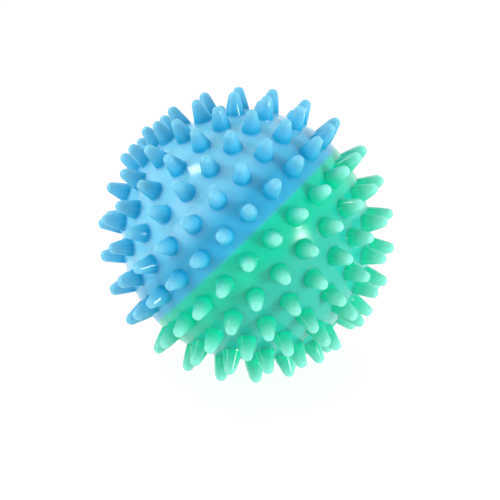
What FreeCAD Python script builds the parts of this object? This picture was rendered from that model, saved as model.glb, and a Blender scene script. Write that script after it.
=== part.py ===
import FreeCAD, Part
import math
import os

# A hollow spiked dryer ball in soft translucent vinyl, in millimetres.
#
# Two half shells, blue and green, are each moulded in one piece with their spikes. They are bonded
# at the equator by a tongue-and-groove rim. The green pole has no spike: it holds the vent, which
# a soft plug closes.
#
# The ball is laid out with the blue pole on +Z and then turned as a whole, so that it lies at rest on
# three green spike tips. The origin stays at the centre of the ball.

Vector = FreeCAD.Vector
ORIGIN = Vector(0, 0, 0)
X_AXIS = Vector(1, 0, 0)
Z_AXIS = Vector(0, 0, 1)

# Ball
TIP_TO_TIP = 70.0
TIP_R = 1.2
SKIN_R = 0.837 * TIP_TO_TIP / 2
WALL = 2.0
CAVITY_R = SKIN_R - WALL

# Spikes: a cone with a round tip, rooted inside the wall
SPIKE_ROOT_R = 2.15
SPIKE_EMBED = 0.6 * WALL
TIP_CENTRE_R = TIP_TO_TIP / 2 - TIP_R

# Rings of spikes, from the equator to the pole, the same on both halves apart from where they start
RING_PITCH = 13.7
RING_COUNTS = (24, 22, 20, 16, 11, 6)
BLUE_STARTS = (7.6, 1.6, -7.2, -2.0, -8.9, 20.0)
GREEN_STARTS = (7.0, -1.2, -8.4, -9.7, -15.0, -22.0)

# Bonded rim at the equator
RIM_WIDTH = 3.2
RIM_HEIGHT = 2.4
TONGUE_WIDTH = 1.0
TONGUE_HEIGHT = 1.2
TONGUE_MID_R = SKIN_R - 1.5

# Vent and its plug, at the green pole
BOSS_R = 4.2
BOSS_DEPTH = 4.0
VENT_R = 1.5
HEAD_R = 2.4
HEAD_SEAT_DEPTH = 0.9
HEAD_PROUD = 0.25
BARB_R = 2.0
BARB_LENGTH = 1.6
BARB_TIP_R = 1.1

# The three green spikes that the ball lies on, as (ring, number in its ring), and the way that the
# blue pole then leans, in degrees from +X towards +Y
REST_SPIKES = ((3, 11), (2, 13), (2, 14))
LEAN_HEADING = 0.0


def ring_latitude(ring):
    """Degrees from the equator, counted back from the pole."""
    return 90.0 - RING_PITCH * (len(RING_COUNTS) - ring)


def direction(latitude, longitude):
    lat = math.radians(latitude)
    lon = math.radians(longitude)
    return Vector(
        math.cos(lat) * math.cos(lon),
        math.cos(lat) * math.sin(lon),
        math.sin(lat),
    )


def spike_directions(side, starts):
    """Directions of every ring spike of one half: side is 1 for the +Z half and -1 for the -Z half."""
    found = []
    for ring, count in enumerate(RING_COUNTS):
        for number in range(count):
            found.append(spike_direction(side, starts, ring, number))
    return found


def spike_direction(side, starts, ring, number):
    longitude = starts[ring] + 360.0 * number / RING_COUNTS[ring]
    return direction(side * ring_latitude(ring), longitude)


def revolved(edges):
    """Solid of revolution about Z from a closed outline in the XZ plane."""
    return Part.Face(Part.Wire(edges)).revolve(ORIGIN, Z_AXIS, 360)


def point(x, z):
    return Vector(x, 0, z)


def line(a, b):
    return Part.LineSegment(a, b).toShape()


def polyline(points):
    return [line(a, b) for a, b in zip(points, points[1:])]


def sphere_arc(radius, start_height, end_height):
    """Arc of a circle about the origin, in the XZ plane, between two heights."""
    a = math.asin(start_height / radius)
    b = math.asin(end_height / radius)
    mid = (a + b) / 2
    ends = [point(radius * math.cos(t), radius * math.sin(t)) for t in (a, mid, b)]
    return Part.Arc(*ends).toShape()


def spike():
    """One spike along +Z, from inside the wall to its round tip."""
    reach = TIP_CENTRE_R - SKIN_R
    # The side is tangent to the tip's sphere and meets the skin at the root radius.
    taper = math.atan2(SPIKE_ROOT_R, reach) - math.asin(TIP_R / math.hypot(reach, SPIKE_ROOT_R))
    shoulder = point(TIP_R * math.cos(taper), TIP_CENTRE_R + TIP_R * math.sin(taper))
    foot_height = SKIN_R - SPIKE_EMBED
    foot = point(SPIKE_ROOT_R + SPIKE_EMBED * math.tan(taper), foot_height)
    half = (math.pi / 2 + taper) / 2
    round_mid = point(TIP_R * math.cos(half), TIP_CENTRE_R + TIP_R * math.sin(half))
    apex = point(0, TIP_CENTRE_R + TIP_R)
    edges = polyline([apex, point(0, foot_height), foot, shoulder])
    edges.append(Part.Arc(shoulder, round_mid, apex).toShape())
    return revolved(edges)


def half_shell(rim):
    """Hollow half ball above z = 0. rim lists the steps of its mating face, from the inside out."""
    rim_in = SKIN_R - RIM_WIDTH
    edges = [sphere_arc(SKIN_R, 0, SKIN_R)]
    edges.append(line(point(0, SKIN_R), point(0, CAVITY_R)))
    edges.append(sphere_arc(CAVITY_R, CAVITY_R, RIM_HEIGHT))
    cavity_edge = point(math.sqrt(CAVITY_R**2 - RIM_HEIGHT**2), RIM_HEIGHT)
    corners = [cavity_edge, point(rim_in, RIM_HEIGHT), point(rim_in, 0)]
    edges += polyline(corners + rim + [point(SKIN_R, 0)])
    return revolved(edges)


def rim_step(height):
    """Tongue (negative height) or groove (positive height) in the rim's mating face."""
    inner = TONGUE_MID_R - TONGUE_WIDTH / 2
    outer = TONGUE_MID_R + TONGUE_WIDTH / 2
    return [point(inner, 0), point(inner, height), point(outer, height), point(outer, 0)]


def with_spikes(shell, directions):
    pattern = spike()
    spikes = []
    for outward in directions:
        one = pattern.copy()
        one.Placement = FreeCAD.Placement(ORIGIN, FreeCAD.Rotation(Z_AXIS, outward))
        spikes.append(one)
    return shell.multiFuse(spikes).removeSplitter()


def vent_boss():
    """Thickening inside the green pole that grips the plug, built at the +Z pole."""
    foot = SKIN_R - BOSS_DEPTH
    return Part.makeCylinder(BOSS_R, BOSS_DEPTH - WALL / 2, point(0, foot))


def vent_hole():
    """The plug's stem hole and head recess, built at the +Z pole."""
    stem = Part.makeCylinder(VENT_R, 2 * BOSS_DEPTH, point(0, SKIN_R - 2 * BOSS_DEPTH))
    head = Part.makeCylinder(HEAD_R, 2 * WALL, point(0, SKIN_R - HEAD_SEAT_DEPTH))
    return stem.fuse(head)


def vent_plug():
    """Soft plug: low domed head, stem, and a barb behind the boss, built at the +Z pole."""
    seat = SKIN_R - HEAD_SEAT_DEPTH
    boss_foot = SKIN_R - BOSS_DEPTH
    dome_r = SKIN_R + HEAD_PROUD
    dome_edge = math.sqrt(dome_r**2 - HEAD_R**2)
    edges = [sphere_arc(dome_r, dome_r, dome_edge)]
    edges += polyline(
        [
            point(HEAD_R, dome_edge),
            point(HEAD_R, seat),
            point(VENT_R, seat),
            point(VENT_R, boss_foot),
            point(BARB_R, boss_foot),
            point(BARB_TIP_R, boss_foot - BARB_LENGTH),
            point(0, boss_foot - BARB_LENGTH),
            point(0, dome_r),
        ]
    )
    return revolved(edges)


def to_green_side(shape):
    """Turns a shape built at the +Z pole over to the -Z pole."""
    return shape.rotated(ORIGIN, X_AXIS, 180)


def blue_half_shell():
    shell = half_shell(rim_step(-TONGUE_HEIGHT))
    return with_spikes(shell, spike_directions(1, BLUE_STARTS) + [Z_AXIS])


def green_half_shell():
    shell = half_shell(rim_step(TONGUE_HEIGHT))
    shell = shell.fuse(vent_boss()).cut(vent_hole())
    return with_spikes(to_green_side(shell), spike_directions(-1, GREEN_STARTS))


def rest_rotation():
    """Turns the ball so that the three chosen spike tips share one lowest plane."""
    a, b, c = [spike_direction(-1, GREEN_STARTS, *spot) for spot in REST_SPIKES]
    down = (b - a).cross(c - a)
    if down.dot(a) < 0:
        down = down * -1
    level = FreeCAD.Rotation(down, Z_AXIS * -1)
    pole = level.multVec(Z_AXIS)
    heading = math.degrees(math.atan2(pole.y, pole.x))
    return FreeCAD.Rotation(Z_AXIS, LEAN_HEADING - heading).multiply(level)


def main():
    os.makedirs("parts", exist_ok=True)
    nodes = {
        "blue_half_shell": blue_half_shell(),
        "green_half_shell": green_half_shell(),
        "vent_plug": to_green_side(vent_plug()),
    }
    turn = FreeCAD.Placement(ORIGIN, rest_rotation())
    for name, shape in nodes.items():
        solid = shape.Solids[0]
        solid.Placement = turn.multiply(solid.Placement)
        print(name, "solids", len(shape.Solids), "valid", solid.isValid(), "mm3", round(solid.Volume, 1))
        solid.exportStep(f"parts/{name}.step")


main()
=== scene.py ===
import math

import bpy
import numpy as np
from mathutils import Matrix, Vector
from mathutils.geometry import delaunay_2d_cdt


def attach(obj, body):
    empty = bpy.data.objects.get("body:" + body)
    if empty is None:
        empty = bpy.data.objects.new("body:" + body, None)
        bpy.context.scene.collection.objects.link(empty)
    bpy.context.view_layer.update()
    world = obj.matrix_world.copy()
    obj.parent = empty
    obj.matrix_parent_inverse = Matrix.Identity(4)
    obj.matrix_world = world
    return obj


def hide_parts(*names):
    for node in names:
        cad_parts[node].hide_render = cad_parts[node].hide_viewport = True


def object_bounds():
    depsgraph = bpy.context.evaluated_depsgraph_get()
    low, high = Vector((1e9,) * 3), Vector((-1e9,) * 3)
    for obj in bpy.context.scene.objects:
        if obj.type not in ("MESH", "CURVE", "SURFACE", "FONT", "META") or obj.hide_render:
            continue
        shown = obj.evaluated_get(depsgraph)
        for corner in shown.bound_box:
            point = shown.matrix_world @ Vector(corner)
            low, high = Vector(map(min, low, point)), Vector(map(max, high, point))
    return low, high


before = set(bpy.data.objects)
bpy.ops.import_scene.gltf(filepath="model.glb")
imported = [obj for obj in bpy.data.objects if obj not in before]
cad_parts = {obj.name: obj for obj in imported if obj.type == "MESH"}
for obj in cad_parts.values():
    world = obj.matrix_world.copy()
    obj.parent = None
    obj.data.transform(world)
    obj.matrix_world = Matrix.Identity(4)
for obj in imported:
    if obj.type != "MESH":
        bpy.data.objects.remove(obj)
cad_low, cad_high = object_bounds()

# A hollow spiked dryer ball in soft translucent vinyl: a blue and a green half shell bonded at the
# equator, and a plug in the vent at the green pole. Lengths are in metres, in the frame of the CAD.
# The ball is laid out with the blue pole on +Z, and turned as the CAD is, to lie on three green tips.

MM = 0.001
TINY = 1e-9
AXIS_Z = Vector((0, 0, 1))

# Ball and spikes. A spike is a cone with a round tip, a small fillet at its root and sides that bulge
# a little.
TIP_TO_TIP = 70.0 * MM
TIP_R = 1.32 * MM
SKIN_R = 0.837 * TIP_TO_TIP / 2
WALL = 2.0 * MM
CAVITY_R = SKIN_R - WALL
SPIKE_ROOT_R = 2.3 * MM
ROOT_FILLET = 0.22 * MM
SPIKE_BULGE = 0.05 * MM
TIP_CENTRE_R = TIP_TO_TIP / 2 - TIP_R

# Rings of spikes, from the equator to the pole: degrees between rings, how many spikes each holds, and
# the longitude of its first spike
RING_PITCH = 13.7
RING_COUNTS = (24, 22, 20, 16, 11, 6)
BLUE_STARTS = (7.6, 1.6, -7.2, -2.0, -8.9, 20.0)
GREEN_STARTS = (7.0, -1.2, -8.4, -9.7, -15.0, -22.0)

# The three green spikes that the ball lies on, as (ring, number in its ring), and the way that the
# blue pole then leans, in degrees from +X towards +Y
REST_SPIKES = ((3, 11), (2, 13), (2, 14))
LEAN_HEADING = 0.0

# Bonded rim, with a rounded edge that makes the seam's fine groove
SEAM_ROUND = 0.10 * MM
SEAM_DEPTH = 0.06 * MM
RIM_WIDTH = 3.2 * MM
RIM_HEIGHT = 2.4 * MM

# Fine raised line that the mould's plates leave between two rings of the blue half
WITNESS_LATITUDE = 27.9
WITNESS_HALF_WIDTH = 0.10 * MM
WITNESS_HEIGHT = 0.05 * MM

# Vent: boss, stem hole and the recess for the plug's head
BOSS_R = 4.2 * MM
BOSS_DEPTH = 4.0 * MM
VENT_R = 1.5 * MM
HEAD_R = 2.4 * MM
HEAD_SEAT_DEPTH = 0.9 * MM
RECESS_GAP = 0.02 * MM
RECESS_CHAMFER_WIDTH = 0.12 * MM
RECESS_CHAMFER_DEPTH = 0.08 * MM

# Plug: domed head with a rounded edge and a dimple, stem, and a barb behind the boss
HEAD_PROUD = 0.25 * MM
HEAD_EDGE_R = 0.18 * MM
DIMPLE_R = 0.45 * MM
DIMPLE_DEPTH = 0.34 * MM
DIMPLE_STEPS = ((0.5, 0.30 * MM), (0.85, 0.12 * MM))
DOME_STEPS = (1.15 * DIMPLE_R, 1.0 * MM, 1.5 * MM, 1.9 * MM)
BARB_R = 2.0 * MM
BARB_LENGTH = 1.6 * MM
BARB_TIP_R = 1.1 * MM

# Mesh density. Loose skin points lie SKIN_SPACING apart, each taking NET_SHARE of its square. Extra
# rings of points at the spikes' feet and above the rim keep the shading even there. Triangles within
# GAP_MARGIN times a gap's radius belong to the gap.
SPIKE_SEGMENTS = 36
ROUND_SEGMENTS = 144
SKIN_SPACING = 1.0 * MM
NET_SHARE = 0.87
CLEAR_OF_LINES = 0.6 * SKIN_SPACING
FOOT_RING_OFFSET = 0.45 * MM
RIM_RING_OFFSET = 0.12 * MM
GAP_MARGIN = 1.01
FILLET_ROUNDS = 20
FILLET_STEPS = 4
SIDE_STEPS = (0.1, 0.25, 0.4, 0.55, 0.7, 0.85)
TIP_STEPS = 8
SEAM_STEPS = 5
HEAD_EDGE_STEPS = 5
CAVITY_STEPS = 24

# Unevenness of real mouldings: how far a tip strays sideways, and how much shorter a spike may be
TIP_WANDER = 0.16 * MM
LENGTH_SPREAD = 0.10 * MM
rng = np.random.default_rng(7)


# ---------------------------------------------------------------- layout of the spikes


def ring_latitude(ring):
    """Degrees from the equator, counted back from the pole."""
    return 90.0 - RING_PITCH * (len(RING_COUNTS) - ring)


def direction(latitude, longitude):
    lat = math.radians(latitude)
    lon = math.radians(longitude)
    return Vector((math.cos(lat) * math.cos(lon), math.cos(lat) * math.sin(lon), math.sin(lat)))


def spike_direction(side, starts, ring, number):
    """Direction of one spike: side is 1 for the blue half and -1 for the green half."""
    longitude = starts[ring] + 360.0 * number / RING_COUNTS[ring]
    return direction(side * ring_latitude(ring), longitude)


def spike_directions(side, starts):
    found = []
    for ring, count in enumerate(RING_COUNTS):
        for number in range(count):
            found.append(spike_direction(side, starts, ring, number))
    return found


def attitude():
    """Rotation that lays the ball on its three resting spikes, as in the CAD."""
    a, b, c = [spike_direction(-1, GREEN_STARTS, *spot) for spot in REST_SPIKES]
    down = (b - a).cross(c - a)
    if down.dot(a) < 0:
        down = -down
    level = down.rotation_difference(-AXIS_Z).to_matrix()
    pole = level @ AXIS_Z
    heading = math.atan2(pole.y, pole.x)
    return Matrix.Rotation(math.radians(LEAN_HEADING) - heading, 3, "Z") @ level


TURN = attitude()


# ---------------------------------------------------------------- mesh helpers


class Surface:
    """Points and faces of one piece, collected loop by loop in the pole-up layout."""

    def __init__(self):
        self.points = []
        self.faces = []

    def add(self, points):
        start = len(self.points)
        self.points.extend(tuple(p) for p in points)
        return list(range(start, len(self.points)))

    def bridge(self, a, b):
        """Quads between two closed loops with the same number of points."""
        count = len(a)
        for i in range(count):
            j = (i + 1) % count
            self.faces.append((a[i], a[j], b[j], b[i]))

    def fan(self, loop, centre):
        """Triangles from a closed loop to one point."""
        count = len(loop)
        for i in range(count):
            self.faces.append((loop[i], loop[(i + 1) % count], centre))

    def turn_over(self, first_face):
        """Reverses the faces from first_face on, so that they face the other way."""
        self.faces[first_face:] = [tuple(reversed(f)) for f in self.faces[first_face:]]

    def mirror(self):
        """Turns the piece over to the other side of the equator."""
        self.points = [(x, y, -z) for x, y, z in self.points]
        self.turn_over(0)

    def build(self, name):
        """Makes the object, turned to the ball's resting attitude."""
        mesh = bpy.data.meshes.new(name)
        turn = np.array(TURN)
        mesh.from_pydata((np.array(self.points) @ turn.T).tolist(), [], self.faces)
        mesh.validate()
        mesh.shade_smooth()
        piece = bpy.data.objects.new(name, mesh)
        bpy.context.scene.collection.objects.link(piece)
        return piece


def round_loop(radius, height, count=ROUND_SEGMENTS):
    turns = np.arange(count) * 2 * math.pi / count
    return np.stack([radius * np.cos(turns), radius * np.sin(turns), np.full(count, height)], 1)


def skin_loop(height, count=ROUND_SEGMENTS):
    """Loop about the pole that lies on the skin."""
    return round_loop(math.sqrt(SKIN_R**2 - height**2), height, count)


def arc(centre, radius, start, end, steps):
    """Points of an arc in an (r, h) profile, both ends included, angles in radians."""
    turns = np.linspace(start, end, steps + 1)
    return [(centre[0] + radius * math.cos(t), centre[1] + radius * math.sin(t)) for t in turns]


def revolve(surface, loop, profile):
    """Bridges a loop on through a profile of (r, h) about the pole, and ends in a fan at r = 0.

    Returns the last loop, or None after a fan.
    """
    for r, h in profile:
        if r < TINY:
            centre = surface.add([(0, 0, h)])[0]
            surface.fan(loop, centre)
            return None
        following = surface.add(round_loop(r, h))
        surface.bridge(loop, following)
        loop = following
    return loop


# ---------------------------------------------------------------- spikes


def spike_profile():
    """(r, h) from the skin through the small root fillet and the tapered side to the tip."""
    reach = TIP_CENTRE_R - SKIN_R
    taper = math.atan2(SPIKE_ROOT_R, reach) - math.asin(TIP_R / math.hypot(reach, SPIKE_ROOT_R))
    # The fillet's circle touches the skin and the side. Each round brings its centre nearer to both.
    centre_r = SPIKE_ROOT_R + ROOT_FILLET
    for _ in range(FILLET_ROUNDS):
        centre_h = math.sqrt((SKIN_R + ROOT_FILLET) ** 2 - centre_r**2)
        lift = (centre_h - TIP_CENTRE_R) * math.sin(taper)
        centre_r = (TIP_R + ROOT_FILLET - lift) / math.cos(taper)
    start = math.atan2(-centre_h, -centre_r)
    end = taper - math.pi
    profile = arc((centre_r, centre_h), ROOT_FILLET, start, end, FILLET_STEPS)
    foot = profile[-1]
    shoulder = (TIP_R * math.cos(taper), TIP_CENTRE_R + TIP_R * math.sin(taper))
    for step in SIDE_STEPS:
        r, h = (f + (s - f) * step for f, s in zip(foot, shoulder))
        profile.append((r + SPIKE_BULGE * math.sin(math.pi * step), h))
    profile += arc((0, TIP_CENTRE_R), TIP_R, taper, math.pi / 2, TIP_STEPS)
    return profile


PROFILE = spike_profile()


def cross_frame(outward):
    """Two directions square to a spike and to each other."""
    across = outward.orthogonal().normalized()
    return across, outward.cross(across)


def loop_about(outward, r, h, drift=Vector((0, 0, 0))):
    """Loop of radius r about a spike's axis, at height h from the ball's centre."""
    across, along = cross_frame(outward)
    points = []
    for i in range(SPIKE_SEGMENTS):
        t = 2 * math.pi * i / SPIKE_SEGMENTS
        points.append(outward * h + across * (r * math.cos(t)) + along * (r * math.sin(t)) + drift)
    return points


def grow_spike(surface, outward, root_loop):
    """Rows of one spike, from its root loop on the skin to the apex."""
    across, along = cross_frame(outward)
    wander = rng.uniform(-TIP_WANDER, TIP_WANDER, 2)
    stretch = rng.uniform(-LENGTH_SPREAD, 0)
    foot_h = PROFILE[0][1]
    full = PROFILE[-1][1] - foot_h
    loop = root_loop
    for r, h in PROFILE[1:]:
        part = (h - foot_h) / full
        drift = (across * wander[0] + along * wander[1]) * part**2 + outward * (stretch * part)
        if r < TINY:
            apex = surface.add([outward * h + drift])[0]
            surface.fan(loop, apex)
        else:
            following = surface.add(loop_about(outward, r, h, drift))
            surface.bridge(loop, following)
            loop = following


# ---------------------------------------------------------------- skin


def to_plane(points):
    """Stereographic image of skin points of the +Z half: circles on the ball stay circles."""
    p = np.array([tuple(v) for v in points])
    unit = p / np.linalg.norm(p, axis=1)[:, None]
    return unit[:, :2] / (1 + unit[:, 2:3])


def to_skin(flat):
    """Points of the plane set back on the skin."""
    s = (flat**2).sum(1)[:, None]
    return np.hstack([2 * flat, 1 - s]) / (1 + s) * SKIN_R


def far_from(points, outward, distance):
    """Which points are further than a distance from the place where a direction meets the skin."""
    return np.linalg.norm(points - np.array(outward) * SKIN_R, axis=1) > distance


def scattered(holes, lowest, kept_lines):
    """Evenly spread skin points, clear of the holes, the rim and the fine lines."""
    count = int(2 * math.pi * SKIN_R**2 / (NET_SHARE * SKIN_SPACING**2))
    i = np.arange(count) + 0.5
    z = i / count
    turn = i * math.pi * (3 - math.sqrt(5))
    flat = np.sqrt(1 - z**2)
    points = np.stack([flat * np.cos(turn), flat * np.sin(turn), z], 1) * SKIN_R
    keep = points[:, 2] > lowest
    for height in kept_lines:
        keep &= np.abs(points[:, 2] - height) > CLEAR_OF_LINES
    for outward, radius in holes:
        keep &= far_from(points, outward, radius + SKIN_SPACING)
    return points[keep]


def triangulated(lines, loose):
    """Triangles in the plane over closed lines and loose points of the skin.

    Returns the points in the plane, the triangles, and each line as the numbers of its points.
    """
    flat = np.vstack([to_plane(line) for line in lines] + [to_plane(loose)])
    edges = []
    starts = []
    at = 0
    for line in lines:
        count = len(line)
        starts.append(at)
        edges += [(at + i, at + (i + 1) % count) for i in range(count)]
        at += count
    result = delaunay_2d_cdt([Vector(p) for p in flat], edges, [], 0, TINY, True)
    points, _, triangles, sources = result[:4]
    place = {}
    for new, olds in enumerate(sources):
        for old in olds:
            place[old] = new
    loops = [[place[start + i] for i in range(len(line))] for start, line in zip(starts, lines)]
    return np.array([tuple(p) for p in points]), triangles, loops


def outer_skin(surface, outwards, vented):
    """The outer skin of the +Z half, with a round gap at each spike and at the vent.

    Returns the loops of the spikes' gaps, of the vent's gap (or None) and of the rim.
    """
    root_r, root_h = PROFILE[0]
    ring_r = root_r + FOOT_RING_OFFSET
    ring_h = math.sqrt(SKIN_R**2 - ring_r**2)
    lines = [loop_about(outward, root_r, root_h) for outward in outwards]
    lines += [loop_about(outward, ring_r, ring_h) for outward in outwards]
    holes = [(outward, root_r) for outward in outwards]
    if vented:
        edge_r = HEAD_R + RECESS_CHAMFER_WIDTH
        lines.append(round_loop(edge_r, math.sqrt(SKIN_R**2 - edge_r**2)))
        holes.append((AXIS_Z, edge_r))
    vent_line = len(lines) - 1
    lines += [skin_loop(SEAM_ROUND + RIM_RING_OFFSET), skin_loop(SEAM_ROUND)]
    rim_line = len(lines) - 1
    witness_h = SKIN_R * math.sin(math.radians(WITNESS_LATITUDE))
    witness_lines = [witness_h + k * WITNESS_HALF_WIDTH for k in (-1, 0, 1)]
    lines += [skin_loop(height, 2 * ROUND_SEGMENTS) for height in witness_lines]
    loose = scattered(holes, SEAM_ROUND + CLEAR_OF_LINES, witness_lines)

    plane, triangles, loops = triangulated(lines, loose)
    skin = to_skin(plane)
    if not vented:
        # Only the middle one of the three witness lines is raised.
        raised = np.abs(skin[:, 2] - witness_h) < 0.5 * WITNESS_HALF_WIDTH
        skin[raised] *= 1 + WITNESS_HEIGHT / SKIN_R
    ids = surface.add(skin)
    centres = np.array([skin[list(t)].mean(0) for t in triangles])
    kept = np.full(len(triangles), True)
    for outward, radius in holes:
        kept &= far_from(centres, outward, radius * GAP_MARGIN)
    surface.faces += [tuple(ids[i] for i in t) for t, keep in zip(triangles, kept) if keep]

    loops = [[ids[i] for i in loop] for loop in loops]
    vent_loop = loops[vent_line] if vented else None
    return loops[: len(outwards)], vent_loop, loops[rim_line]


def rim_and_cavity(surface, rim_loop, stop_r):
    """Rounded seam edge, the rim's flat face and lip, and the cavity wall up to radius stop_r."""
    outer_r = math.sqrt(SKIN_R**2 - SEAM_ROUND**2)
    profile = [
        (outer_r - SEAM_DEPTH * (1 - math.cos(t)), SEAM_ROUND * (1 - math.sin(t)))
        for t in np.linspace(0, math.pi / 2, SEAM_STEPS + 1)[1:]
    ]
    rim_in = SKIN_R - RIM_WIDTH
    profile += [(rim_in, 0.0), (rim_in, RIM_HEIGHT)]
    low = math.asin(RIM_HEIGHT / CAVITY_R)
    high = math.acos(stop_r / CAVITY_R)
    profile += arc((0, 0), CAVITY_R, low, high, CAVITY_STEPS)
    first_face = len(surface.faces)
    loop = revolve(surface, rim_loop, profile)
    surface.turn_over(first_face)
    return loop


def vent(surface, vent_loop, cavity_loop):
    """Recess for the plug's head, the stem hole and the boss behind them."""
    seat = SKIN_R - HEAD_SEAT_DEPTH
    boss_foot = SKIN_R - BOSS_DEPTH
    recess_r = HEAD_R + RECESS_GAP
    edge_h = math.sqrt(SKIN_R**2 - HEAD_R**2) - RECESS_CHAMFER_DEPTH
    profile = [
        (recess_r, edge_h),
        (recess_r, seat),
        (VENT_R, seat),
        (VENT_R, boss_foot),
        (BOSS_R, boss_foot),
    ]
    surface.bridge(revolve(surface, vent_loop, profile), cavity_loop)


def half_shell(outwards, vented):
    """One half, pole up, with its spikes, rim and cavity."""
    surface = Surface()
    gap_loops, vent_loop, rim_loop = outer_skin(surface, outwards, vented)
    for outward, loop in zip(outwards, gap_loops):
        grow_spike(surface, outward, loop)
    cavity_loop = rim_and_cavity(surface, rim_loop, BOSS_R if vented else 0)
    if vented:
        vent(surface, vent_loop, cavity_loop)
    return surface


# ---------------------------------------------------------------- shaders


def node(tree, kind, **values):
    made = tree.nodes.new(kind)
    for key, value in values.items():
        setattr(made, key, value)
    return made


def ramp(tree, factor, stops):
    """Colour ramp driven by the socket factor, with stops as (position, colour)."""
    made = node(tree, "ShaderNodeValToRGB")
    elements = made.color_ramp.elements
    elements[0].position, elements[0].color = stops[0]
    elements[1].position, elements[1].color = stops[-1]
    for position, colour in stops[1:-1]:
        stop = elements.new(position)
        stop.color = colour
    tree.links.new(factor, made.inputs["Fac"])
    return made.outputs["Color"]


def spread(tree, value, low, high, to_low=0.0, to_high=1.0):
    """Maps a socket's range low to high onto to_low to to_high, and clamps it."""
    made = node(tree, "ShaderNodeMapRange")
    made.inputs["From Min"].default_value = low
    made.inputs["From Max"].default_value = high
    made.inputs["To Min"].default_value = to_low
    made.inputs["To Max"].default_value = to_high
    tree.links.new(value, made.inputs["Value"])
    return made.outputs["Result"]


def noise(tree, place, scale, detail):
    made = node(tree, "ShaderNodeTexNoise")
    made.inputs["Scale"].default_value = scale
    made.inputs["Detail"].default_value = detail
    tree.links.new(place, made.inputs["Vector"])
    return made.outputs["Fac"]


def noise_spread(tree, value, to_low, to_high):
    """The middle range of a noise, mapped onto to_low to to_high."""
    return spread(tree, value, *NOISE_MIDDLE, to_low, to_high)


def product(tree, a, b):
    made = node(tree, "ShaderNodeMath", operation="MULTIPLY")
    tree.links.new(a, made.inputs[0])
    tree.links.new(b, made.inputs[1])
    return made.outputs[0]


def length_along(tree, vector, axis):
    """Length of a socket's vector along a fixed axis."""
    made = node(tree, "ShaderNodeVectorMath", operation="DOT_PRODUCT")
    made.inputs[1].default_value = axis
    tree.links.new(vector, made.inputs[0])
    return made.outputs["Value"]


def above_seam(tree, place):
    """Distance from the plane of the seam, on either side."""
    made = node(tree, "ShaderNodeMath", operation="ABSOLUTE")
    tree.links.new(length_along(tree, place, TURN @ AXIS_Z), made.inputs[0])
    return made.outputs[0]


def from_centre(tree, place):
    made = node(tree, "ShaderNodeVectorMath", operation="LENGTH")
    tree.links.new(place, made.inputs[0])
    return made.outputs["Value"]


# Colours of the wall, from the seam over WALL_FADE, with painted shade darker and richer near the seam,
# and of the spikes, from root to tip, with painted shade at the root and painted light at the tip, and
# the distance from the centre over which the spikes' colours take over
WALL_FADE = 16 * MM
WALL_STOPS = ((0.0, "seam"), (0.03, "shaded_wall"), (0.4, "shaded_wall"), (0.76, "skin"))
# The spikes' root colour is painted shade and their tip colour is painted light.
SPIKE_STOPS = ((0.0, "root"), (0.1, "root"), (0.38, "body"), (0.85, "tip"))
SPIKE_FADE = (SKIN_R + 0.05 * MM, SKIN_R + 0.6 * MM)

# The rim is opaque. Above it the light goes into the vinyl, more and more over RIM_FADE.
RIM_FADE = (0.3 * MM, 2.5 * MM)
LIGHT_DEPTH = 2.8 * MM

# Broad clouds and fine grain of the surface: noise scale and detail, and how much they shade the colour
NOISE_MIDDLE = (0.3, 0.7)
CLOUD = (70.0, 3.0)
CLOUD_SHADE = (0.95, 1.05)
GRAIN = (900.0, 2.0)
GRAIN_SHADE = (0.97, 1.03)
GRAIN_HEIGHT = 0.03 * MM
GRAIN_STRENGTH = 0.35

# Gloss: the spikes are twice as smooth as the wall
WALL_ROUGHNESS = (0.13, 0.22)
SPIKE_POLISH = 0.5
VINYL_IOR = 1.42


def vinyl_colour(tree, height, reach, on_spike, colours):
    """Wall coloured by the height above the seam, with painted shade near the seam, and spikes
    coloured from root to tip, with painted shade at the root and painted light at the tip.
    """
    # Painted shade: the wall's colour is darker and richer near the seam.
    wall_stops = [(at, colours[part]) for at, part in WALL_STOPS]
    wall = ramp(tree, spread(tree, height, 0, WALL_FADE), wall_stops)
    # Painted shade at the spikes' roots and painted light at their tips.
    spike_stops = [(at, colours[part]) for at, part in SPIKE_STOPS]
    spike = ramp(tree, spread(tree, reach, SKIN_R, TIP_TO_TIP / 2), spike_stops)
    blend = node(tree, "ShaderNodeMix", data_type="RGBA")
    tree.links.new(on_spike, blend.inputs[0])
    tree.links.new(wall, blend.inputs[6])
    tree.links.new(spike, blend.inputs[7])
    return blend.outputs[2]


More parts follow.
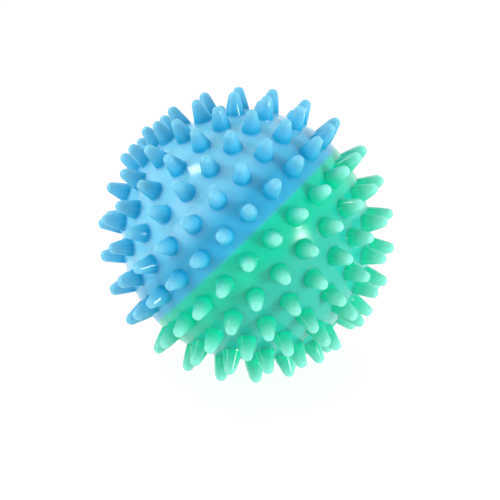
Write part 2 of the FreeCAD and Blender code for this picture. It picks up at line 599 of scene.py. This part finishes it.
def vinyl(name, colours, subsurface):
    """Glossy translucent vinyl, with painted shade near the seam and at the spikes' roots, and painted
    light that makes the tips paler.
    """
    material = bpy.data.materials.new(name)
    material.use_nodes = True
    tree = material.node_tree
    tree.nodes.clear()
    link = tree.links.new
    output = node(tree, "ShaderNodeOutputMaterial")
    shader = node(tree, "ShaderNodeBsdfPrincipled")
    link(shader.outputs[0], output.inputs[0])
    place = node(tree, "ShaderNodeTexCoord").outputs["Object"]
    height = above_seam(tree, place)
    reach = from_centre(tree, place)
    on_spike = spread(tree, reach, *SPIKE_FADE)
    cloud = noise(tree, place, *CLOUD)
    grain = noise(tree, place, *GRAIN)

    shade = node(tree, "ShaderNodeHueSaturation")
    link(vinyl_colour(tree, height, reach, on_spike, colours), shade.inputs["Color"])
    cloud_shade = noise_spread(tree, cloud, *CLOUD_SHADE)
    grain_shade = noise_spread(tree, grain, *GRAIN_SHADE)
    link(product(tree, cloud_shade, grain_shade), shade.inputs["Value"])
    link(shade.outputs["Color"], shader.inputs["Base Color"])

    wall_roughness = noise_spread(tree, cloud, *WALL_ROUGHNESS)
    polish = spread(tree, on_spike, 0, 1, 1, SPIKE_POLISH)
    link(product(tree, wall_roughness, polish), shader.inputs["Roughness"])
    shader.inputs["IOR"].default_value = VINYL_IOR

    bump = node(tree, "ShaderNodeBump")
    bump.inputs["Strength"].default_value = GRAIN_STRENGTH
    bump.inputs["Distance"].default_value = GRAIN_HEIGHT
    link(grain, bump.inputs["Height"])
    link(bump.outputs["Normal"], shader.inputs["Normal"])

    link(spread(tree, height, *RIM_FADE), shader.inputs["Subsurface Weight"])
    shader.inputs["Subsurface Radius"].default_value = subsurface
    shader.inputs["Subsurface Scale"].default_value = LIGHT_DEPTH
    return material


def srgb(r, g, b):
    """Linear colour of an 8-bit screen colour."""

    def linear(v):
        v /= 255
        return v / 12.92 if v <= 0.04045 else ((v + 0.055) / 1.055) ** 2.4

    return (linear(r), linear(g), linear(b), 1.0)


# In each set the wall's colour near the seam, just past the teal of the seam itself, is painted shade,
# the spikes' root colour is painted shade and their tip colour is painted light.
SEAM_TEAL = srgb(50, 196, 196)
BLUES = {
    "seam": SEAM_TEAL,
    "shaded_wall": srgb(54, 176, 216),
    "skin": srgb(124, 208, 240),
    "root": srgb(0, 164, 206),
    "body": srgb(74, 184, 220),
    "tip": srgb(112, 188, 214),
}
GREENS = {
    "seam": SEAM_TEAL,
    "shaded_wall": srgb(0, 206, 170),
    "skin": srgb(44, 194, 174),
    "root": srgb(0, 216, 172),
    "body": srgb(58, 203, 172),
    "tip": srgb(128, 216, 198),
}
BLUE_VINYL = vinyl("blue_vinyl", BLUES, (0.7, 0.95, 1.0))
GREEN_VINYL = vinyl("green_vinyl", GREENS, (0.7, 1.0, 0.9))


# ---------------------------------------------------------------- pieces


def finish_piece(piece, material, node_name):
    piece.data.materials.append(material)
    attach(piece, "root")
    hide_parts(node_name)


def blue_half():
    surface = half_shell(spike_directions(1, BLUE_STARTS) + [AXIS_Z], vented=False)
    finish_piece(surface.build("blue_shell"), BLUE_VINYL, "blue_half_shell")


def green_half():
    outwards = [Vector((d.x, d.y, -d.z)) for d in spike_directions(-1, GREEN_STARTS)]
    surface = half_shell(outwards, vented=True)
    surface.mirror()
    finish_piece(surface.build("green_shell"), GREEN_VINYL, "green_half_shell")


def plug_profile():
    """(r, h) from the dimple over the domed head and down the stem to the barb's end."""
    dome_r = SKIN_R + HEAD_PROUD
    seat = SKIN_R - HEAD_SEAT_DEPTH
    boss_foot = SKIN_R - BOSS_DEPTH
    edge_r = HEAD_R - HEAD_EDGE_R
    edge_h = math.sqrt(dome_r**2 - edge_r**2) - HEAD_EDGE_R
    profile = [(DIMPLE_R * part, dome_r - depth) for part, depth in DIMPLE_STEPS]
    profile += [(r, math.sqrt(dome_r**2 - r**2)) for r in DOME_STEPS]
    profile += arc((edge_r, edge_h), HEAD_EDGE_R, math.pi / 2, 0, HEAD_EDGE_STEPS)
    profile += [(HEAD_R, seat), (VENT_R, seat), (VENT_R, boss_foot), (BARB_R, boss_foot)]
    profile += [(BARB_TIP_R, boss_foot - BARB_LENGTH), (0, boss_foot - BARB_LENGTH)]
    return profile


def plug():
    surface = Surface()
    profile = plug_profile()
    dimple_floor = surface.add([(0, 0, SKIN_R + HEAD_PROUD - DIMPLE_DEPTH)])[0]
    first = surface.add(round_loop(*profile[0]))
    revolve(surface, first, profile[1:])
    surface.turn_over(0)
    surface.fan(first, dimple_floor)
    surface.mirror()
    finish_piece(surface.build("plug"), GREEN_VINYL, "vent_plug")


blue_half()
green_half()
plug()


# ---------------------------------------------------------------- studio


# Camera: a long lens, seen from a little above, aimed just below and to the right of the centre
CAMERA_DISTANCE = 26 * SKIN_R
CAMERA_AZIMUTH = 203.47
CAMERA_ELEVATION = 27.34
CAMERA_ROLL = 0.25
CAMERA_LENS = 233.0
CAMERA_CLIP = (0.05, 20.0)
AIM_RIGHT = 0.87 * MM
AIM_DOWN = 3.55 * MM

# Lights: (name, how far right, up and back towards the camera, width, height, power)
LIGHT_DISTANCE = 0.7
LIGHTS = (
    ("key", (-0.60, 0.75, 0.15), 0.08, 0.11, 0.7),
    ("front", (0.79, -0.08, 0.61), 0.14, 0.24, 2.3),
    ("fill", (-0.82, 0.22, 0.50), 0.5, 0.5, 1.5),
)

# White table that glows, and the white room, dimmer towards the camera: ROOM_GLOW over ROOM_RANGE
TABLE_HALF_SIDE = 6.0
TABLE_COLOUR = (0.15, 0.15, 0.15, 1)
TABLE_ROUGHNESS = 0.9
TABLE_GLOW = 0.88
WHITE = (1, 1, 1, 1)
ROOM_RANGE = (-0.6, 0.8)
ROOM_GLOW = (1.08, 0.62)


def camera_axes():
    """Directions to the right, up and back towards the camera. Azimuth 0 looks along +Y."""
    turn = math.radians(CAMERA_AZIMUTH)
    rise = math.radians(CAMERA_ELEVATION)
    flat = math.cos(rise)
    back = Vector((math.sin(turn) * flat, -math.cos(turn) * flat, math.sin(rise)))
    right = AXIS_Z.cross(back).normalized()
    return right, back.cross(right), back


def add_camera():
    right, up, back = camera_axes()
    target = right * AIM_RIGHT - up * AIM_DOWN
    data = bpy.data.cameras.new("camera")
    data.lens = CAMERA_LENS
    data.clip_start, data.clip_end = CAMERA_CLIP
    camera = bpy.data.objects.new("camera", data)
    camera.location = back * CAMERA_DISTANCE
    aim = (target - camera.location).to_track_quat("-Z", "Y")
    roll = Matrix.Rotation(math.radians(CAMERA_ROLL), 3, "Z").to_quaternion()
    camera.rotation_mode = "QUATERNION"
    camera.rotation_quaternion = aim @ roll
    bpy.context.scene.collection.objects.link(camera)
    bpy.context.scene.camera = camera


def add_light(name, toward, width, height, power):
    """Soft light, placed by how far right, up and back it is as the camera sees the ball."""
    data = bpy.data.lights.new(name, "AREA")
    data.shape = "ELLIPSE"
    data.size = width
    data.size_y = height
    data.energy = power
    light = bpy.data.objects.new(name, data)
    right, up, back = camera_axes()
    heading = (right * toward[0] + up * toward[1] + back * toward[2]).normalized()
    place = heading * LIGHT_DISTANCE
    light.location = place
    light.rotation_euler = (-place).to_track_quat("-Z", "Y").to_euler()
    bpy.context.scene.collection.objects.link(light)


def light_table():
    """Evenly lit white table, as under the ball in a studio."""
    material = bpy.data.materials.new("light_table")
    material.use_nodes = True
    shader = material.node_tree.nodes["Principled BSDF"]
    shader.inputs["Base Color"].default_value = TABLE_COLOUR
    shader.inputs["Roughness"].default_value = TABLE_ROUGHNESS
    shader.inputs["Emission Color"].default_value = WHITE
    shader.inputs["Emission Strength"].default_value = TABLE_GLOW
    return material


def add_floor():
    side = TABLE_HALF_SIDE
    mesh = bpy.data.meshes.new("floor")
    corners = [(-side, -side), (side, -side), (side, side), (-side, side)]
    mesh.from_pydata([(x, y, cad_low.z) for x, y in corners], [], [(0, 1, 2, 3)])
    floor = bpy.data.objects.new("floor", mesh)
    mesh.materials.append(light_table())
    bpy.context.scene.collection.objects.link(floor)


def add_world():
    """White studio that is dimmer on the side where the photographer stands."""
    world = bpy.data.worlds.new("studio")
    world.use_nodes = True
    tree = world.node_tree
    background = tree.nodes["Background"]
    _, _, back = camera_axes()
    view = node(tree, "ShaderNodeTexCoord").outputs["Generated"]
    towards_camera = length_along(tree, view, back)
    glow = spread(tree, towards_camera, *ROOM_RANGE, *ROOM_GLOW)
    tree.links.new(glow, background.inputs["Strength"])
    background.inputs["Color"].default_value = WHITE
    bpy.context.scene.world = world


add_camera()
for light in LIGHTS:
    add_light(*light)
add_floor()
add_world()
bpy.context.scene.view_settings.view_transform = "Standard"
